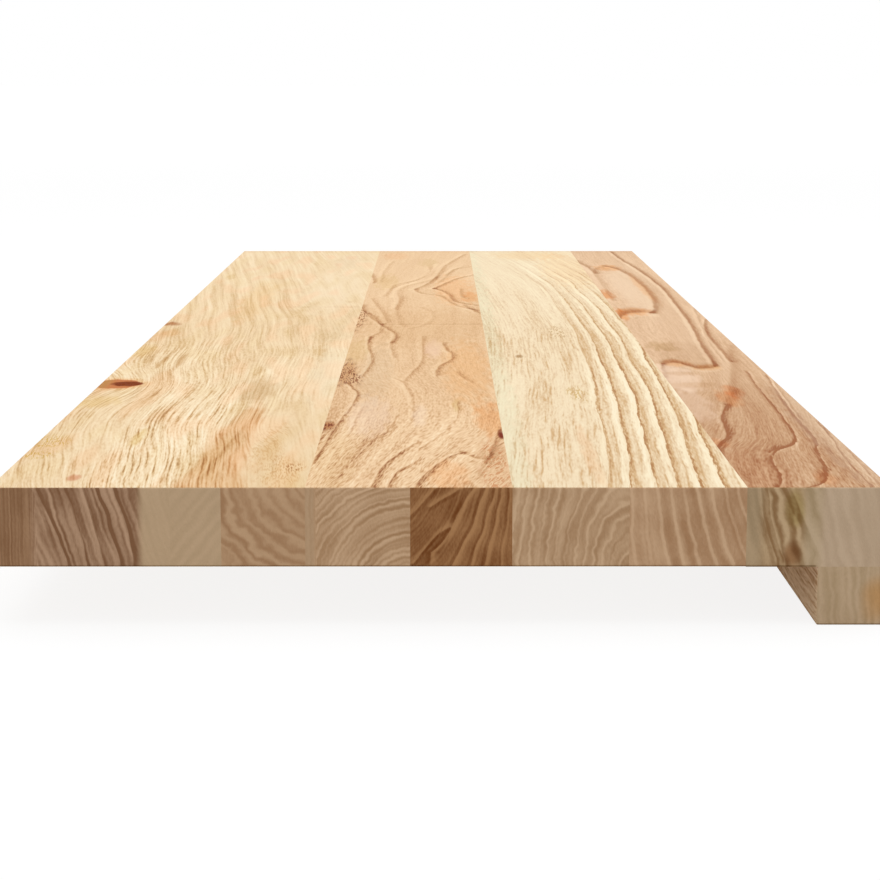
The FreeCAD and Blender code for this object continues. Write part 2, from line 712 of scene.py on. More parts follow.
@dataclass(frozen=True)
class CreamFace(OakFace):
    """Cream face with dense wavy grain, a knot at the back edge and a tan tongue at the near end.

    The grain leans along the tread, swings round the knot, is steeper in the near corner and wavers
    less from steady on. Dark threads show towards the near end, long soft streaks beyond, and
    clouds in front. Quiet is the share of contrast outside the zones. Pairs of limits say where a
    change begins and where it is whole.
    """

    knot: Knot = Knot()
    tongue: Tongue = Tongue()
    lean: Path = ((0, 0), (180, 14), (300, 17), (420, 22), (600, 38), (1000, 82))
    swing: float = 14.0
    swing_reach: Point = (38, 48)
    corner: float = 14.0
    corner_reach: Point = (24, 55)
    steady: Point = (300, 650)
    steady_share: float = 0.6
    border: Point = (95, 103)
    border_lift: float = 0.3
    threads: Shares = Shares(streak=1.0, dash=0.2)
    thread_edge: Point = (-0.3, -1.1)
    thread_lift: float = -0.4
    thread_run: Point = (330, 60)
    soft_seed: float = 7.0
    soft_run: Point = (250, 600)
    front: Point = (55, 75)
    front_calm: float = 0.6
    clouds: float = 0.5
    quiet: float = 0.5
    lined: Zone = Zone((38, 58), 14, (330, 150), 0.5)
    ringed: Zone = Zone((235, 370), 60, (62, 30), 0.25)
    plain: Zone = Zone((84, 106), 8, (260, 120), -0.3)
    blush: Layer = Layer(Tone(255, 241, 232), (0.0, 0.9), 0.6, Blend.WASH)
    straw: Layer = Layer(Tone(251, 249, 239), (0.0, -0.9), 0.6, Blend.WASH)

    def flow(self, grain: Grain) -> Signal:
        """Distance across the grain, with its lean, the swing round the knot and the near corner.

        Args:
            grain: the wood at each point.

        Returns:
            The distance in millimetres.
        """
        bench, across, along = grain.bench, grain.place.across, grain.place.along
        past = bench.beyond(along, self.knot.middle[1], self.swing_reach[1])
        round_knot = bench.math("EXPONENT", across * (-1 / self.swing_reach[0]) - past * past)
        inward = across * (-1 / self.corner_reach[0]) - along * (1 / self.corner_reach[1])
        bent = self.swing * round_knot + self.corner * bench.math("EXPONENT", inward)
        waving = self.waving(grain) * (1.0 - bench.step(along, *self.steady, self.steady_share))
        return across + bench.curve(along, self.lean) + waving - bent

    def lift(self, grain: Grain) -> Number:
        """Dark threads, soft streaks beyond them, clouds and a pale border at the seam.

        Args:
            grain: the wood at each point.

        Returns:
            The added brightness.
        """
        bench, across, along = grain.bench, grain.place.across, grain.place.along
        border = bench.step(across, *self.border, self.border_lift)
        threads = bench.step(self.threads.mixed(grain), *self.thread_edge, self.thread_lift)
        near = bench.step(along, *self.thread_run)
        drawn = bench.vector(grain.flow, along, grain.depth)
        soft = bench.noise(drawn, LONG_STREAK, self.soft_seed)
        front = bench.step(across, *self.front)
        far = bench.step(along, *self.soft_run) * (1.0 - self.front_calm * front)
        return border + threads * near + soft * far + self.clouds * front * grain.ripples

    def hush(self, grain: Grain) -> Number:
        """Share of the fine grain's contrast that shows, most beside the tongue and round the knot.

        Args:
            grain: the wood at each point.

        Returns:
            The share.
        """
        across, along = grain.place.across, grain.place.along
        share = self.lined.mask(across, along) + self.ringed.mask(along, across) + self.quiet
        share = share + self.plain.mask(across, along)
        return share * grain.bench.curve(along, self.calm)

    def stain(self, grain: Grain, colour: Paint) -> Paint:
        """The colour with faint mottling, then the tongue and the knot laid over it."""
        colour = self.straw.lay(self.blush.lay(colour, grain.ripples), grain.ripples)
        return self.knot.lay(grain, self.tongue.lay(grain, colour))


@dataclass(frozen=True)
class SweptFace(OakFace):
    """Face whose grain leans by a curve along the tread, more on one side than on the other.

    Change is where the back's share of the lean gives way to the front's, across the tread.
    """

    sweep: Path = ()
    back_share: float = 1.0
    front_share: float = 1.0
    change: Point = (0, 300)

    def flow(self, grain: Grain) -> Signal:
        """Distance across the grain, less its sweep.

        Args:
            grain: the wood at each point.

        Returns:
            The distance in millimetres.
        """
        across = grain.place.across
        share = grain.bench.step(across, *self.change, self.front_share - self.back_share)
        bent = grain.bench.curve(grain.place.along, self.sweep) * (share + self.back_share)
        return across - bent + self.waving(grain)


@dataclass(frozen=True)
class BandedFace(OakFace):
    """Cream face whose growth rings stand out as broad bands towards the front.

    Bend is where the strongest ring lies across, by distance along, and ring the brightness over
    one ring. Bands says where they begin and are whole, in millimetres from the strongest ring, and
    boldness how they fade along the tread. Cracks give way to the bands by crack calm.
    """

    spacing: float = 7.65
    bend: Path = (
        (0, 222.5), (100, 227), (200, 232), (300, 235.5), (400, 237.6), (450, 238),
        (500, 237.4), (600, 235), (700, 230.5), (800, 223), (900, 212), (1000, 199),
    )
    ring: Path = (
        (0.0, -1.1), (0.05, -0.85), (0.13, -0.4), (0.3, -0.25), (0.5, -0.12), (0.62, 0.15),
        (0.76, 0.6), (0.9, 0.6), (0.95, -0.1), (1.0, -1.1),
    )
    ring_fray: Shares = Shares(dash=0.35, pore=0.3)
    ring_wave: float = 0.8
    bands: Point = (-25, -8)
    boldness: Path = ((0, 1.0), (250, 1.0), (450, 0.8), (700, 0.6), (850, 0.4), (960, 0.0))
    strength: float = 0.95
    strength_mix: Shares = Shares(broad=0.4, dash=0.3)
    cracks: Shares = Shares(streak=0.7, dash=0.6)
    crack_edge: Point = (-0.2, -1.1)
    crack_lift: float = -0.25
    crack_run: Point = (600, 0)
    crack_calm: float = 0.6

    def flow(self, grain: Grain) -> Signal:
        """Distance from the strongest ring, in millimetres."""
        bent = grain.bench.curve(grain.place.along, self.bend)
        return grain.place.across - bent + self.waving(grain)

    def lift(self, grain: Grain) -> Number:
        """The bands, which fade towards the back and the far end, and thin cracks behind them.

        Args:
            grain: the wood at each point.

        Returns:
            The added brightness.
        """
        bench, along = grain.bench, grain.place.along
        frayed = grain.flow + self.ring_fray.mixed(grain) + self.ring_wave * grain.waves
        turn = bench.math("FRACT", frayed * (1 / self.spacing))
        bold = bench.step(grain.flow, *self.bands) * bench.curve(along, self.boldness)
        strength = self.strength_mix.mixed(grain) + self.strength
        bands = bench.curve(turn, self.ring) * bold * strength
        cracks = bench.step(self.cracks.mixed(grain), *self.crack_edge, self.crack_lift)
        return bands + cracks * bench.step(along, *self.crack_run) * (1.0 - self.crack_calm * bold)


class RingShape(Enum):
    """How the growth rings lie on the sawn end of a stave."""

    ROUND = "round the pith"
    FAN = "in a slanted fan"


class RingLine(Enum):
    """Brightness across one growth ring of a sawn end: soft, or with a thin light line."""

    SOFT = ((0.0, -1.0), (0.25, 0.0), (0.5, 1.0), (0.75, 0.0), (1.0, -1.0))
    LIGHT = ((0.0, -0.4), (0.3, -0.3), (0.5, 1.0), (0.65, 0.0), (1.0, -0.4))


@dataclass(frozen=True)
class Rings:
    """Growth rings in one part of a sawn end, from start on.

    Round a pith, the middle is the pith, and a squash below 1 makes the rings taller than wide. In
    a fan, the rings lean by lean at the middle, and by opening more for each millimetre across.
    """

    start: float
    shape: RingShape
    middle: Point
    spacing: float
    dark: Tone
    light: Tone
    lean: float = 0.0
    opening: float = 0.0
    squash: float = 1.0

    def turn(self, place: Place) -> Signal:
        """How many rings lie between each point and the middle.

        Args:
            place: where the points are.

        Returns:
            The number of rings.
        """
        bench = place.bench
        dx = place.across - self.middle[0]
        if self.shape is RingShape.ROUND:
            dz = (place.height - self.middle[1]) * self.squash
            distance = bench.math("SQRT", bench.math("MULTIPLY_ADD", dx, dx, dz * dz))
        else:
            distance = place.height * bench.scaled(dx, self.opening, self.lean) + dx
        return distance * (1 / self.spacing)


@dataclass(frozen=True)
class SawnEnd:
    """The sawn end of a piece: parts with rings of their own, and marks on them.

    Even, mix, cloud and pore say how strongly the rings, their differences, broad clouds and pores
    show. Bend and waver shift the rings, counted in rings, and line bend the lines, in millimetres.
    Soft is half the width over which one part gives way to the next. The foot is painted shade on
    the lower arris, a darker band from foot up and as far across as foot stop.
    """

    parts: tuple[Rings, ...]
    seed: float
    line: RingLine = RingLine.SOFT
    even: float = 0.45
    mix: float = 0.5
    bend: float = 0.2
    waver: float = 0.06
    soft: float = 0.6
    cloud: float = 0.25
    pore: float = 0.12
    lines: tuple[GrainLine, ...] = ()
    line_bend: float = 0.5
    patches: tuple[Patch, ...] = ()
    foot: float = 0.0
    foot_stop: float = 400.0
    foot_soft: float = 1.0
    # Painted shade for the lower arris of the end.
    foot_painted_shade: Layer = Layer(Tone(190, 180, 168), (0.8, 0.3), how=Blend.WASH)

    def draw(self, grain: Grain) -> Paint:
        """The colour of the end.

        Args:
            grain: the wood at each point.

        Returns:
            The colour.
        """
        place, bench = grain.place, grain.bench
        spot = (place.across, place.height)
        first = self.parts[0]
        turn = first.turn(place)
        dark: Paint = first.dark
        light: Paint = first.light
        for part in self.parts[1:]:
            share = bench.step(place.across, part.start - self.soft, part.start + self.soft)
            turn = bench.blend(turn, part.turn(place), share)
            dark = bench.lay(dark, part.dark, share)
            light = bench.lay(light, part.light, share)
        where = bench.vector(place.across, place.along, place.height)
        bent = bench.noise(where, RING_BEND, self.seed)
        fine = bench.noise(where, RING_WAVER, self.seed + 3)
        turn = turn + self.bend * bent + self.waver * fine
        uneven = bench.noise(bench.vector(turn, place.along, place.height), RING_MIX, self.seed + 1)
        ring = bench.curve(bench.math("FRACT", turn), self.line.value)
        cloud = bench.noise(where, RING_CLOUD, self.seed + 2)
        tone = self.even * ring + self.mix * uneven + self.cloud * cloud + self.pore * grain.pore
        for line in self.lines:
            tone = tone + line.tone(spot, self.line_bend * bent)
        colour = bench.lay(dark, light, bench.step(tone, -1.0, 1.0))
        for patch in self.patches:
            colour = patch.lay(spot, colour, cloud, grain.pore)
        # Painted shade: a darker band along the lower arris of the end, kept short of foot stop.
        painted_shade_reach = bench.step(place.across, self.foot_stop, self.foot_stop - self.foot_soft)
        return self.foot_painted_shade.lay(colour, place.height - self.foot, painted_shade_reach)


@dataclass
class Timber:
    """One piece of oak: the node it dresses and the finishes of its faces.

    Relief is the depth of the pores in millimetres. A piece without a top finish is plain there too.
    """

    node: str
    end: SawnEnd
    plain: OakFace
    top: OakFace | None = None
    roughness: float = 0.7
    pore_roughness: float = -0.08
    gloss: float = 0.02
    relief: float = 0.05
    relief_strength: float = 0.8

    def limits(self) -> Point:
        """The back and front edge of the piece, in millimetres across."""
        low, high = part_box(self.node)
        return ((low.x - BACK_EDGE) / MM, (high.x - BACK_EDGE) / MM)

    def grain(self, bench: Bench) -> Grain:
        """The wood at each point, read once for all faces of the piece.

        Args:
            bench: where to draw.

        Returns:
            The grain, with its flow over the top and the plain faces.
        """
        place = Place(bench)
        wide = bench.math("MAXIMUM", place.level, place.end)
        side = bench.blend(place.height, place.across, wide)
        depth = bench.blend(place.across, place.height, wide)
        where = bench.vector(side, place.along, depth)
        seed = (self.top or self.plain).seed
        grain = Grain(
            place=place,
            side=side,
            depth=depth,
            waves=bench.noise(where, WAVES, seed),
            ripples=bench.noise(where, RIPPLES, seed + 1),
            fray=bench.noise(where, FRAY, seed + 2),
        )
        flow = self.plain.flow(grain)
        if self.top is not None:
            flow = bench.blend(flow, self.top.flow(grain), place.top)
        drawn = bench.vector(flow, place.along, depth)
        grain.flow = flow
        grain.broad = bench.noise(drawn, BROAD, seed + 3)
        grain.streak = bench.noise(drawn, STREAK, seed + 4)
        grain.dash = bench.noise(drawn, DASH, seed + 5)
        grain.pore = bench.noise(drawn, PORE, seed + 6)
        return grain

    def colour(self, grain: Grain) -> Paint:
        """The colour of the piece: its plain faces, then its top, then its ends.

        Args:
            grain: the wood at each point.

        Returns:
            The colour.
        """
        bench, limits = grain.bench, self.limits()
        colour = self.plain.draw(grain, limits)
        if self.top is not None:
            colour = bench.lay(colour, self.top.draw(grain, limits), grain.place.top)
        return bench.lay(colour, self.end.draw(grain), grain.place.end)

    def dress(self) -> None:
        """Draw the piece's material and put it in the slot of its node."""
        material = bpy.data.materials.new(f"{self.node}_oak")
        bench = Bench(material)
        grain = self.grain(bench)
        shader = bench.node("ShaderNodeBsdfPrincipled")
        bump = bench.node("ShaderNodeBump")
        bench.feed(bump.inputs["Height"], grain.pore)
        bench.feed(bump.inputs["Distance"], self.relief * MM)
        bench.feed(bump.inputs["Strength"], self.relief_strength)
        bench.feed(shader.inputs["Base Color"], self.colour(grain))
        rough = bench.scaled(grain.pore, self.pore_roughness, self.roughness)
        bench.feed(shader.inputs["Roughness"], rough)
        bench.feed(shader.inputs["Normal"], bump.outputs[0])
        shader.inputs["Specular IOR Level"].default_value = self.gloss
        bench.node("ShaderNodeOutputMaterial", shader.outputs[0])
        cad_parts[self.node].data.materials[0] = material


CREAM = CreamFace(
    seed=1,
    tones=(
        Tone(186, 144, 96), Tone(219, 184, 137), Tone(240, 213, 173), Tone(251, 230, 195),
        Tone(254, 239, 208),
    ),
    shares=Shares(0.3, 0.6, 0.3, 0.3),
    ripple=0.7,
    rise=((0, -0.03), (250, -0.03), (420, -0.12), (700, 0.05), (960, 0.16), (1000, -0.2)),
    calm=((0, 1.1), (150, 1.0), (350, 0.9), (500, 0.6), (1000, 0.45)),
    lines=(
        # A pale arch beyond the tongue.
        GrainLine(((63, 180), (64, 230), (66.5, 265), (71, 292)), 2.2, -0.25, fade=20),
        GrainLine(((72, 292), (77, 268), (80, 235), (82, 180)), 2.2, -0.25, fade=20, flip=True),
        # Darker lines in the tongue.
        GrainLine(((69, 20), (71, 70), (73, 110), (75, 150)), 1.3, 0.3, fade=25),
        GrainLine(((74, 10), (75, 60), (76, 90)), 1.1, 0.25, fade=25),
        # A faint line across.
        GrainLine(((62, 579), (104, 579)), 2, 0.35, Run.ACROSS, 1),
    ),
    patches=(
        # Grit, stains and a small second knot near the back edge.
        Patch((4, 94), (9, 20), Tone(224, 206, 132), 0.9, gritty=True),
        Patch((5, 66), (7, 13), Tone(220, 200, 122), 0.9, gritty=True),
        Patch((6, 196), (11, 22), Tone(242, 230, 190), 0.6),
        Patch((5, 370), (6, 32), Tone(244, 230, 185), 0.5),
        Patch((36, 100), (2.6, 26), Tone(238, 226, 180), 0.6),
        Patch((25.5, 18), (2.6, 7), Tone(224, 176, 158), 0.8),
        Patch((4, 491), (5.5, 11), Tone(196, 150, 116), 0.9),
        Patch((8, 445), (6, 20), Tone(244, 220, 190), 0.6),
        Patch((10, 778), (4, 26), Tone(238, 228, 205), 0.6),
        # Streaks beyond the knot and a broad tint.
        Patch((18, 330), (1.6, 30), Tone(220, 198, 168), 0.7),
        Patch((27, 332), (2.2, 34), Tone(220, 198, 168), 0.7),
        Patch((40, 620), (11, 130), Tone(250, 234, 206), 0.4),
        # The shade in the arch, and tan and grit beside the tongue.
        Patch((72, 232), (9, 46), Tone(234, 225, 212), 0.9),
        Patch((97, 20), (7, 50), Tone(250, 232, 206), 0.5),
        Patch((88, 75), (5, 60), Tone(244, 232, 214), 0.7),
        Patch((99, 38), (3, 9), Tone(205, 172, 140), gritty=True),
        Patch((95, 28), (10, 36), Tone(222, 194, 160), 0.6, gritty=True),
        Patch((87, 90), (8, 60), Tone(228, 204, 172), 0.5, gritty=True),
        # Broad tints towards the seam.
        Patch((94, 440), (9, 50), Tone(243, 240, 234), 0.7),
        Patch((84, 680), (22, 150), Tone(250, 230, 198), 0.5, Blend.COVER),
        Patch((98, 290), (9, 110), Tone(247, 230, 198), 0.5, Blend.COVER),
        Patch((84, 900), (10, 70), Tone(246, 243, 243), 0.6),
    ),
)

CONTOUR = SweptFace(
    seed=41,
    tones=(
        Tone(158, 104, 66), Tone(206, 161, 117), Tone(232, 195, 153), Tone(245, 213, 173),
        Tone(252, 227, 192),
    ),
    shares=Shares(0.3, 0.2, 0.15, 0.4),
    wave=2.0,
    sweep=(
        (0, 0), (50, 7), (100, 15), (150, 20), (200, 21), (250, 17), (300, 13), (360, 11),
        (430, 9), (500, 11), (600, 11), (690, 7), (760, 10), (860, 16), (1000, 26),
    ),
    back_share=0.6,
    front_share=1.1,
    change=(105, 165),
    rise=((0, 0.0), (300, 0.0), (700, 0.15), (960, 0.2), (1000, -0.15)),
    calm=((0, 1.05), (120, 0.95), (200, 0.6), (400, 0.4), (1000, 0.35)),
    lines=(
        # Contours of the near part.
        GrainLine(((105.5, 50), (107, 75), (108.5, 105), (110.5, 140), (114.5, 195), (115, 215),
                   (112.5, 235), (109.5, 252)), 0.9, 0.7),
        GrainLine(((110.5, 40), (113, 80), (115.5, 110), (117, 150), (118.5, 180)), 0.9, 0.4),
        GrainLine(((115.5, 20), (117, 42), (119, 60), (122, 85), (127, 105), (131, 125), (133, 158)),
                  1, 0.3),
        GrainLine(((127.5, 0), (129.5, 30), (131.5, 48), (135, 65), (140, 85), (142, 92)), 1, 0.7),
        GrainLine(((143, 78), (148, 97), (151, 112), (154, 130), (157, 152), (158, 195)), 0.9, 0.55),
        GrainLine(((133, 0), (134.5, 20), (137, 35), (141, 47), (143, 55)), 1, 0.75),
        GrainLine(((142.5, 0), (144, 15), (147, 32), (150.5, 48), (154, 61), (158, 68)), 1.3, 0.8),
        GrainLine(((157, 68), (160, 65), (163, 58), (166, 56)), 4, 0.45, Run.ACROSS, 2),
        GrainLine(((166, 50), (168, 62), (170, 85), (172, 105), (173, 125)), 1.2, 0.6),
        # Contours of the middle.
        GrainLine(((152.5, 400), (154, 375), (157, 350), (155, 330), (151, 315), (149.5, 300),
                   (149, 280)), 1.4, 0.6),
        GrainLine(((114, 430), (115, 380), (117.5, 350), (118, 325), (117, 300), (115.5, 280)), 1.2, 0.65),
        GrainLine(((127, 430), (126, 395), (127, 370), (128.5, 345)), 1.2, 0.4),
        GrainLine(((142, 430), (142, 395), (142.5, 350), (141, 315), (138, 290), (135, 262)), 1.3, 0.4),
        GrainLine(((130, 268), (134, 255), (136, 240), (138, 215), (139.5, 180), (139.5, 145)), 1.1, 0.4),
        GrainLine(((158.5, 288), (161, 272), (164.5, 258)), 1.5, 0.4),
        # Contours beyond them.
        GrainLine(((112.5, 740), (112.5, 800), (114, 850), (117, 900)), 1.7, 0.35),
        GrainLine(((104, 800), (107.5, 755), (108, 735)), 1.7, 0.6),
        GrainLine(((105, 590), (107, 560), (111, 530), (118, 490), (124, 460), (128, 432), (126, 405)),
                  1.5, 0.55),
        GrainLine(((105, 560), (110, 545), (116, 510), (119, 460), (114, 420), (114, 405)), 1.4, 0.4),
        GrainLine(((165, 592), (170, 562), (174, 545)), 1.8, 0.5),
        GrainLine(((135.2, 690), (145, 741), (150.8, 800), (154, 853), (160.8, 906), (169.7, 965)),
                  1.9, 0.5),
        GrainLine(((135.2, 690), (139.7, 662), (150.8, 647), (155.2, 624), (159.7, 594), (165.2, 576),
                   (172, 562)), 1.9, 0.45),
        GrainLine(((144, 853), (145, 812), (139.7, 771), (130.8, 741), (122, 718), (119.7, 682),
                   (117, 647)), 2.2, 0.35),
        GrainLine(((149.7, 776), (140.8, 741), (129.7, 712), (125, 671), (127, 618), (125, 570)), 2, 0.3),
        GrainLine(((168.6, 862), (160.8, 829), (155.2, 776), (150.8, 741)), 1.7, 0.3),
        GrainLine(((109.7, 629), (114, 588), (119.7, 535), (122, 500)), 1.8, 0.35),
        GrainLine(((139.7, 575), (147.4, 529), (144, 494), (134, 470)), 2, 0.25),
        GrainLine(((128, 640), (126, 588), (127, 529), (131, 480)), 2, 0.25),
        GrainLine(((147, 694), (153, 722), (158, 745), (163, 766), (174, 792)), 1.8, 0.65),
        GrainLine(((147, 694), (154, 672), (157.5, 645), (160, 615), (165, 600), (172, 592)), 1.8, 0.65),
        GrainLine(((121, 640), (122, 690), (133, 735), (143, 790), (148, 880)), 1.6, -0.3),
        GrainLine(((155, 790), (158, 815), (161, 835), (172, 856)), 1.7, 0.4),
        GrainLine(((164.5, 690), (164.3, 650), (167, 634)), 1.6, 0.4),
        # A faint line across.
        GrainLine(((105, 488), (174, 488)), 2.2, 0.3, Run.ACROSS, 1),
    ),
    patches=(
        # Broad tints.
        Patch((122, 160), (10, 60), Tone(243, 214, 188), 0.4, Blend.COVER),
        Patch((147, 380), (5, 40), Tone(243, 208, 180), 0.5, Blend.COVER),
        Patch((112, 50), (10, 70), Tone(250, 248, 238), 0.6),
        Patch((163, 300), (13, 130), Tone(252, 236, 216)),
        Patch((170, 150), (7, 55), Tone(248, 218, 188), 0.8),
        Patch((160, 690), (14, 110), Tone(255, 238, 222)),
        Patch((143, 890), (8, 40), Tone(242, 240, 226), 0.7),
        Patch((140, 480), (48, 110), Tone(246, 240, 232), 0.8),
        Patch((121, 290), (9, 120), Tone(240, 240, 240), 0.7),
        Patch((109, 370), (7, 60), Tone(244, 242, 226), 0.8),
        Patch((118, 950), (11, 40), Tone(252, 228, 208), 0.4),
        Patch((116, 740), (9, 60), Tone(246, 243, 226), 0.7),
        Patch((142, 158), (3.5, 34), Tone(252, 228, 202), 0.35, Blend.COVER),
        Patch((170, 640), (6, 40), Tone(250, 222, 190), 0.7),
        Patch((157, 185), (2, 20), Tone(236, 230, 200), 0.7),
        # Grit at the back seam and the shade round it.
        Patch((107, 290), (5.5, 52), Tone(160, 116, 84), 0.9, gritty=True),
        Patch((112, 264), (4.5, 22), Tone(166, 120, 88), 0.9, gritty=True),
        Patch((108, 285), (5, 45), Tone(234, 216, 198), 0.8),
        Patch((106.5, 131), (2.8, 14), Tone(214, 172, 140), 0.8),
        Patch((106.5, 131), (3.5, 18), Tone(150, 92, 64), 0.95, gritty=True),
        Patch((106, 520), (4, 75), Tone(180, 138, 104), 0.9, gritty=True),
        # The fill of the near contour, the grit beside it and a dark speck at the seam.
        Patch((153, 22), (8, 34), Tone(254, 233, 214), 0.8),
        Patch((169, 40), (6, 70), Tone(208, 156, 116), 0.8, gritty=True),
        Patch((173.6, 111), (1.8, 12), Tone(122, 44, 22), 1, Blend.COVER),
    ),
)

BANDED = BandedFace(
    seed=61,
    tones=(
        Tone(182, 134, 88), Tone(215, 179, 133), Tone(242, 220, 185), Tone(251, 234, 200),
        Tone(254, 240, 210),
    ),
    shares=Shares(0.2, 0.2, 0.12, 0.14),
    wave=0.6,
    ripple=0.5,
    rise=((0, 0.04), (250, -0.07), (400, -0.07), (700, 0.09), (960, 0.18), (1000, -0.2)),
    calm=((0, 1.0), (500, 0.9), (1000, 0.7)),
    patches=(
        # Broad tints, then a speck, a blush and grit.
        Patch((174, 300), (9, 900), Tone(246, 255, 255), 0.7),
        Patch((217, 955), (30, 45), Tone(252, 236, 212), 0.5),
        Patch((240, 840), (22, 170), Tone(255, 244, 230), 0.7),
        Patch((189, 348), (2, 7), Tone(190, 166, 134), 0.9),
        Patch((204, 60), (3, 80), Tone(252, 238, 228)),
        Patch((212, 450), (6, 42), Tone(206, 180, 142), 0.8, gritty=True),
        Patch((209, 218), (5, 30), Tone(214, 190, 138), 0.8, gritty=True),
    ),
)

RED = SweptFace(
    seed=81,
    tones=(
        Tone(162, 106, 70), Tone(192, 146, 108), Tone(214, 175, 138), Tone(235, 200, 164),
        Tone(247, 218, 184),
    ),
    shares=Shares(0.22, 0.22, 0.22, 0.25),
    wave=1.6,
    ripple=0.7,
    fray=0.3,
    sweep=((0, 0), (60, 4), (100, 12), (200, 27), (300, 36), (400, 38), (1000, 40)),
    front_share=0.45,
    change=(268, 292),
    rise=((0, -0.42), (120, -0.38), (200, -0.24), (280, 0.1), (450, 0.3), (960, 0.4), (1000, 0.1)),
    calm=((0, 1.0), (100, 0.7), (250, 0.5), (1000, 0.45)),
    lines=(
        # Contours of the near part.
        GrainLine(((250.5, 70), (254.5, 90), (259, 105), (261, 125), (262.5, 150), (265, 165), (269, 185)),
                  1.2, 0.85),
        GrainLine(((268, 183), (270.5, 196), (274, 211), (278, 230)), 2.4, 0.25),
        GrainLine(((277, 230), (282, 265), (287, 300), (291, 335), (296, 385)), 3, 0.35, fade=25),
        GrainLine(((262, 0), (266, 20), (267, 40), (268.5, 57), (271, 69), (277, 80), (281, 88), (284, 100),
                   (285.5, 120), (286.5, 145), (288, 180), (288.8, 225), (290, 258), (291.6, 285)),
                  0.8, 0.75, fade=15, flip=True),
        GrainLine(((269.5, 70), (272, 76), (276, 80), (280, 85), (282.5, 94)), 4, 0.6, Run.ACROSS, 2),
        GrainLine(((272, 0), (279, 10), (282, 22), (284, 36), (286, 55), (287.5, 75), (290, 90),
                   (291.5, 110), (291.8, 140), (293, 170), (294.3, 200), (296, 235), (298.5, 275)),
                  0.65, 0.75, flip=True),
        GrainLine(((274, 0), (279, 11), (282, 22), (284.5, 34)), 1.8, 0.55, flip=True),
        GrainLine(((293.3, 0), (294, 30), (294.6, 55), (295.6, 75), (297.5, 100), (299, 140)), 0.55, 0.75),
        GrainLine(((296.3, 0), (297.2, 30), (298.6, 70)), 0.5, 0.5),
        GrainLine(((296, 0), (296.5, 120), (298, 240)), 4, -0.35, fade=60),
        GrainLine(((293.5, 150), (295.5, 190), (297.5, 230), (299, 260)), 0.6, 0.4),
        # Contours from the middle on, with a bent one across.
        GrainLine(((286, 330), (287, 360), (288, 400), (291, 450), (295, 510), (299, 570)), 1.1, 0.4),
        GrainLine(((279.5, 312), (281, 335), (281.6, 360), (283, 395), (285, 430), (287.5, 480),
                   (289.5, 530), (291, 590), (292.6, 650), (293.4, 700), (292.6, 740), (291.5, 790),
                   (290, 830), (288, 870), (285, 920), (283, 990)), 1.5, 1),
        GrainLine(((289, 330), (290, 370), (291, 420), (294, 470), (299, 510)), 1.4, 0.9),
        GrainLine(((250, 250), (252.5, 280), (254.5, 306), (256, 318)), 1.7, 0.95),
        GrainLine(((255.5, 317), (258, 325), (262, 327), (266, 318), (268.5, 311), (271, 306), (274, 307),
                   (277, 309), (280, 316)), 8, 0.8, Run.ACROSS, 2.5),
        # The long ring of the far part.
        GrainLine(((272, 548), (277, 575), (280, 610), (282, 660), (282.5, 710), (282, 750), (280, 795),
                   (276, 835), (268, 862)), 2.4, 0.85),
        GrainLine(((268, 862), (263, 850), (259, 825), (257.5, 790), (257, 740), (256.5, 680), (256, 620)),
                  2.2, 0.35),
        GrainLine(((251, 910), (253, 885), (257, 840), (258, 805)), 2.4, 0.75),
        GrainLine(((252, 520), (255, 540), (260, 552), (266, 556), (273, 550)), 12, 0.75, Run.ACROSS, 4),
    ),
    patches=(
        # Broad tints.
        Patch((257, 28), (13, 65), Tone(240, 224, 214), 0.7),
        Patch((256, 190), (8, 60), Tone(228, 194, 164), 0.6, Blend.COVER),
        Patch((258, 270), (10, 50), Tone(243, 212, 184), 0.75, Blend.COVER),
        Patch((270, 700), (11, 150), Tone(243, 214, 182), 0.6, Blend.COVER),
        Patch((297.5, 110), (10, 160), Tone(220, 194, 166), 0.3, Blend.COVER),
        # The orange blotch and smaller ones.
        Patch((272.5, 206), (5.5, 28), Tone(255, 228, 204), 1),
        Patch((276.5, 226), (5, 24), Tone(250, 216, 190), 0.9),
        Patch((281, 17), (4.5, 17), Tone(252, 228, 208), 0.8),
        Patch((254, 88), (4, 14), Tone(252, 222, 200), 0.8),
        # Shades round the bent contour.
        Patch((270, 362), (14, 48), Tone(244, 240, 236), 0.8),
        Patch((263, 322), (8, 16), Tone(248, 222, 194)),
        Patch((275, 306), (8, 12), Tone(246, 222, 186)),
        Patch((262, 388), (9, 22), Tone(230, 222, 202), 0.8),
        Patch((262, 247), (12, 11), Tone(238, 228, 214), 0.7),
        Patch((260, 285), (9, 8), Tone(238, 228, 214), 0.7),
        # Shades along the ring of the far part.
        Patch((269, 848), (11, 28), Tone(248, 218, 184), 0.8),
        Patch((262, 553), (12, 24), Tone(248, 214, 178), 0.8),
        Patch((281, 700), (4, 110), Tone(248, 220, 188), 0.6),
        Patch((254.5, 655), (5, 34), Tone(242, 200, 162), 0.9),
        Patch((254, 540), (4.5, 36), Tone(244, 206, 168), 0.9),
    ),
)

# Faces that show no figure: the edges and the underside.
CREAM_EDGE = OakFace((
    Tone(176, 128, 84), Tone(208, 166, 118), Tone(235, 204, 160), Tone(248, 224, 184),
    Tone(253, 234, 200),
))
TAN_EDGE = OakFace((
    Tone(160, 108, 70), Tone(196, 150, 106), Tone(228, 190, 145), Tone(243, 210, 168),
    Tone(250, 224, 188),
))
PINK_EDGE = OakFace((
    Tone(146, 88, 56), Tone(186, 134, 96), Tone(218, 176, 136), Tone(236, 200, 162),
    Tone(246, 216, 184),
))
STRIP_EDGE = OakFace((
    Tone(146, 98, 64), Tone(190, 150, 110), Tone(221, 190, 152), Tone(239, 211, 177),
    Tone(248, 226, 197),
), seed=101)

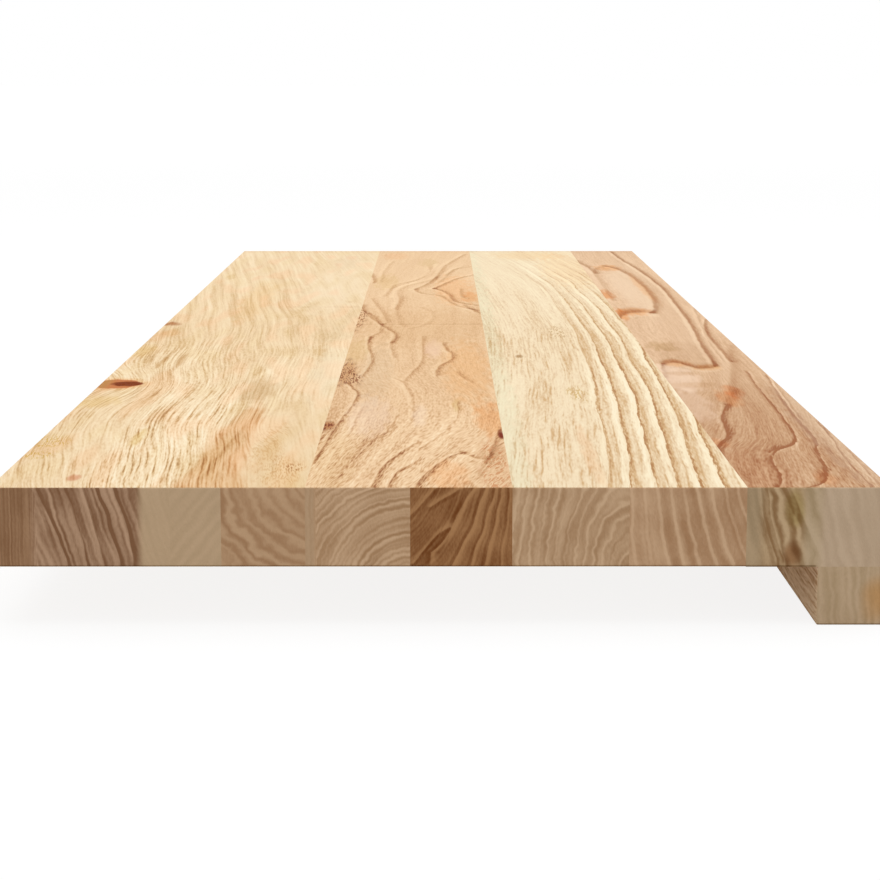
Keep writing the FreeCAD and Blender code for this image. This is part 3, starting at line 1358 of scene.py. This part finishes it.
# Darker and lighter rings of sawn ends.
PALE_END = (Tone(205, 175, 139), Tone(213, 182, 146))
BROWN_END = (Tone(143, 103, 73), Tone(208, 170, 138))
TAN_END = (Tone(183, 141, 104), Tone(212, 174, 136))

END_1 = SawnEnd(
    parts=(
        Rings(0, RingShape.FAN, (0, 0), 1.2, Tone(150, 110, 78), Tone(182, 142, 108)),
        Rings(14, RingShape.FAN, (14, 0), 2.4, *BROWN_END, lean=0.3),
        Rings(50, RingShape.FAN, (14, 0), 2.4, *PALE_END, lean=0.3),
    ),
    seed=201,
    even=0.2,
    soft=1.6,
    lines=(
        GrainLine(((26.5, 0), (24.5, 7), (21, 16), (16.5, 26)), 0.9, 1),
        GrainLine(((32.8, 0), (30, 13), (25.4, 27)), 0.6, 0.6),
        GrainLine(((38.3, 0), (35.6, 13), (31.3, 27)), 0.7, 0.8),
        GrainLine(((44, 0), (40.6, 13), (36.2, 27)), 0.7, 0.9),
        GrainLine(((48.3, 0), (46.2, 13), (41.8, 27)), 0.7, 0.9),
    ),
)
END_2 = SawnEnd((Rings(60, RingShape.FAN, (60, 0), 5, *PALE_END, lean=-0.8),), seed=204)
END_3 = SawnEnd(
    (Rings(77, RingShape.ROUND, (112, 34), 4.2, *TAN_END),), seed=207, bend=0.35, waver=0.16
)
END_4 = SawnEnd(
    parts=(
        Rings(105, RingShape.FAN, (105, 0), 2, Tone(196, 160, 124), Tone(208, 174, 138)),
        Rings(108, RingShape.ROUND, (140, -7), 2.1, Tone(184, 143, 104), Tone(228, 191, 153)),
    ),
    seed=210,
    even=0.35,
    waver=0.16,
)
END_5 = SawnEnd(
    parts=(
        Rings(140, RingShape.FAN, (157, 0), 3, Tone(118, 64, 24), Tone(194, 144, 98), -0.7, 0.04),
    ),
    seed=213,
    even=0.0,
    mix=0.2,
    lines=(
        GrainLine(((140, 18), (145, 23.5), (148, 27)), 1.2, -0.7, Run.ACROSS, 2),
        GrainLine(((141, 2), (145.5, 7), (149, 11), (153, 14)), 1, -0.7, Run.ACROSS, 2),
        GrainLine(((147, 21), (152, 24), (156, 27)), 0.9, -0.7, Run.ACROSS, 2),
        GrainLine(((147, 5), (153, 11), (157, 19), (161.5, 27)), 0.9, -0.8),
        GrainLine(((154, 0), (159.5, 10), (162.5, 18), (165.5, 27)), 0.8, -0.8),
        GrainLine(((160, 0), (163.7, 10), (167, 20), (169, 27)), 0.7, -0.7),
        GrainLine(((164.5, 0), (168, 12), (171, 27)), 0.7, -0.7),
        GrainLine(((170, 0), (172, 14), (173.5, 27)), 0.5, -0.5),
    ),
)
END_6 = SawnEnd(
    parts=(
        Rings(174, RingShape.ROUND, (214, -4), 3, Tone(186, 146, 108), Tone(228, 192, 154), squash=0.5),
    ),
    seed=216,
    line=RingLine.LIGHT,
    waver=0.12,
)
END_7 = SawnEnd(
    parts=(
        Rings(213, RingShape.FAN, (229, 0), 5.4, Tone(184, 140, 102), Tone(228, 190, 152), 0.22, 0.008),
    ),
    seed=219,
    line=RingLine.LIGHT,
    even=0.6,
    mix=0.4,
    bend=0.08,
    waver=0.03,
)
END_8 = SawnEnd(
    parts=(
        Rings(252, RingShape.FAN, (257, 0), 4.5, Tone(176, 150, 116), Tone(200, 172, 136), 0.25),
        Rings(257, RingShape.FAN, (257, 0), 4.5, Tone(158, 121, 82), Tone(214, 183, 143), 0.25),
        Rings(271, RingShape.FAN, (257, 0), 4.5, Tone(184, 158, 122), Tone(212, 186, 152), 0.25),
        Rings(277, RingShape.FAN, (257, 0), 4.5, Tone(204, 177, 147), Tone(217, 190, 160), 0.25),
    ),
    seed=222,
    soft=2.0,
    lines=(
        GrainLine(((262.5, 3), (259, 14), (257, 27)), 0.8, 0.9),
        GrainLine(((264.8, 3), (261.3, 14), (259, 27)), 0.6, -0.7),
        GrainLine(((271, 13), (267, 20), (263.5, 27)), 1.2, 0.6),
        GrainLine(((278, 2), (272, 15), (267, 27)), 1.1, -0.8),
    ),
    patches=(
        Patch((267.5, 4.5), (3.4, 5), Tone(190, 156, 126)),
        Patch((268, 20), (3.4, 7), Tone(225, 225, 190)),
    ),
    # Keeps the painted shade of the lower arris off the part above the strip.
    foot_stop=276.0,
)
STRIP_END = SawnEnd(
    parts=(
        Rings(276, RingShape.FAN, (276, 0), 3, Tone(190, 162, 126), Tone(214, 185, 151), 0.05),
    ),
    seed=225,
    even=0.3,
    patches=(Patch((296.5, -12), (7, 9), Tone(252, 224, 182), 0.9),),
    # The painted shade sits at the strip's own lower edge, 20 mm below the board.
    foot=-20.0,
)


@dataclass
class Board:
    """The glued board: its staves from the back edge to the front."""

    staves: list[Timber] = field(default_factory=list)

    def build(self) -> None:
        """List the staves with their finishes. Neighbours with one top finish share its grain."""
        self.staves = [
            Timber("stave_1_back", END_1, CREAM_EDGE, CREAM),
            Timber("stave_2", END_2, CREAM_EDGE, CREAM),
            Timber("stave_3", END_3, CREAM_EDGE, CREAM),
            Timber("stave_4", END_4, TAN_EDGE, CONTOUR),
            Timber("stave_5", END_5, TAN_EDGE, CONTOUR),
            Timber("stave_6", END_6, CREAM_EDGE, BANDED),
            Timber("stave_7", END_7, CREAM_EDGE, BANDED),
            Timber("stave_8_front", END_8, PINK_EDGE, RED),
        ]

    def dress(self) -> list[str]:
        """Draw the oak on every stave and give their names.

        Returns:
            The names of the staves.
        """
        for stave in self.staves:
            stave.dress()
        return [stave.node for stave in self.staves]


@dataclass
class Nosing:
    """The strip under the front stave."""

    strip: Timber | None = None

    def build(self) -> None:
        """Set the strip's finishes."""
        self.strip = Timber("nosing_strip", STRIP_END, STRIP_EDGE)

    def dress(self) -> list[str]:
        """Draw the oak on the strip and give its name."""
        self.strip.dress()
        return [self.strip.node]


@dataclass
class Studio:
    """A pale floor that glows a little, soft light from above and the camera.

    Sizes are in metres, angles in degrees, lens and sensor in millimetres. The floor is white to
    the camera, a little more so past the lamp's reach. Matt share is how much of the floor takes
    light and shadow instead of glowing, and shadow share the same where the camera looks.
    """

    floor_size: float = 60.0
    floor_grey: float = 0.8
    floor_white: float = 1.07
    far_lift: float = 0.09
    lamp_reach: Point = (0.8, 6.0)
    floor_glow: float = 0.45
    matt_share: float = 0.5
    shadow_share: float = 0.2
    sky: float = 0.6
    lamp_power: float = 37.0
    lamp_size: float = 3.0
    lamp_height: float = 2.4
    camera_place: tuple[float, float, float] = (-0.00116, -1.22977, 0.18254)
    camera_tilt: float = 9.3107
    camera_turn: float = 0.0848
    lens: float = 91.497
    sensor: float = 36.0

    def lay_floor(self) -> None:
        """A level floor that shows white to the camera and keeps a faint shadow of the tread."""
        mesh = bpy.data.meshes.new("floor")
        half = self.floor_size / 2
        corners = [(-half, -half, 0), (half, -half, 0), (half, half, 0), (-half, half, 0)]
        mesh.from_pydata(corners, [], [(0, 1, 2, 3)])
        floor = bpy.data.objects.new("floor", mesh)
        bpy.context.scene.collection.objects.link(floor)
        mesh.materials.append(self.floor_material())

    def floor_material(self) -> bpy.types.Material:
        """Glow and matt grey together, in other shares where the camera looks.

        Returns:
            The material.
        """
        material = bpy.data.materials.new("pale_floor")
        bench = Bench(material)
        seen = bench.seen()
        grey = (self.floor_grey, self.floor_grey, self.floor_grey, 1.0)
        matt = bench.node("ShaderNodeBsdfDiffuse", grey)
        spot = bench.node("ShaderNodeTexCoord").outputs["Object"]
        reach = bench.node("ShaderNodeVectorMath", spot, operation="LENGTH")
        away = Signal(bench, reach.outputs["Value"])
        white = bench.step(away, *self.lamp_reach, self.far_lift) + self.floor_white
        strength = bench.blend(self.floor_glow, white, seen)
        glow = bench.node("ShaderNodeEmission", Tone(255, 255, 255), strength)
        share = bench.scaled(seen, self.shadow_share - self.matt_share, self.matt_share)
        both = bench.node("ShaderNodeMixShader", share, glow.outputs[0], matt.outputs[0])
        bench.node("ShaderNodeOutputMaterial", both.outputs[0])
        return material

    def light(self) -> None:
        """Even light from all round, white to the camera, and one large soft lamp overhead."""
        world = bpy.data.worlds.new("studio")
        bpy.context.scene.world = world
        bench = Bench(world)
        strength = bench.scaled(bench.seen(), 1.0 - self.sky, self.sky)
        back = bench.node("ShaderNodeBackground", Tone(255, 255, 255), strength)
        bench.node("ShaderNodeOutputWorld", back.outputs[0])
        lamp = bpy.data.lights.new("soft_box", "AREA")
        lamp.shape = "SQUARE"
        lamp.size = self.lamp_size
        lamp.energy = self.lamp_power
        hung = bpy.data.objects.new("soft_box", lamp)
        hung.location = (0.0, 0.0, self.lamp_height)
        bpy.context.scene.collection.objects.link(hung)

    def place_camera(self) -> None:
        """A long lens at the near end, looking down the length of the tread."""
        camera = bpy.data.cameras.new("camera")
        camera.lens = self.lens
        camera.sensor_width = self.sensor
        holder = bpy.data.objects.new("camera", camera)
        holder.location = self.camera_place
        # A camera that isn't turned looks straight down.
        tilt = math.radians(90.0 - self.camera_tilt)
        holder.rotation_euler = Euler((tilt, 0.0, math.radians(-self.camera_turn)))
        bpy.context.scene.collection.objects.link(holder)
        bpy.context.scene.camera = holder

    def build(self) -> None:
        """Set up the floor, the light, the camera and the plain view."""
        self.lay_floor()
        self.light()
        self.place_camera()
        bpy.context.scene.view_settings.view_transform = "Standard"


def main() -> None:
    """Dress the board and the strip, report each piece, then set up the studio."""
    logging.basicConfig(level=logging.INFO)
    for assembly in (Board(), Nosing()):
        assembly.build()
        for name in assembly.dress():
            LOG.info("dressed %s", name)
    Studio().build()
    LOG.info("studio ready")


if __name__ == "__main__":
    main()
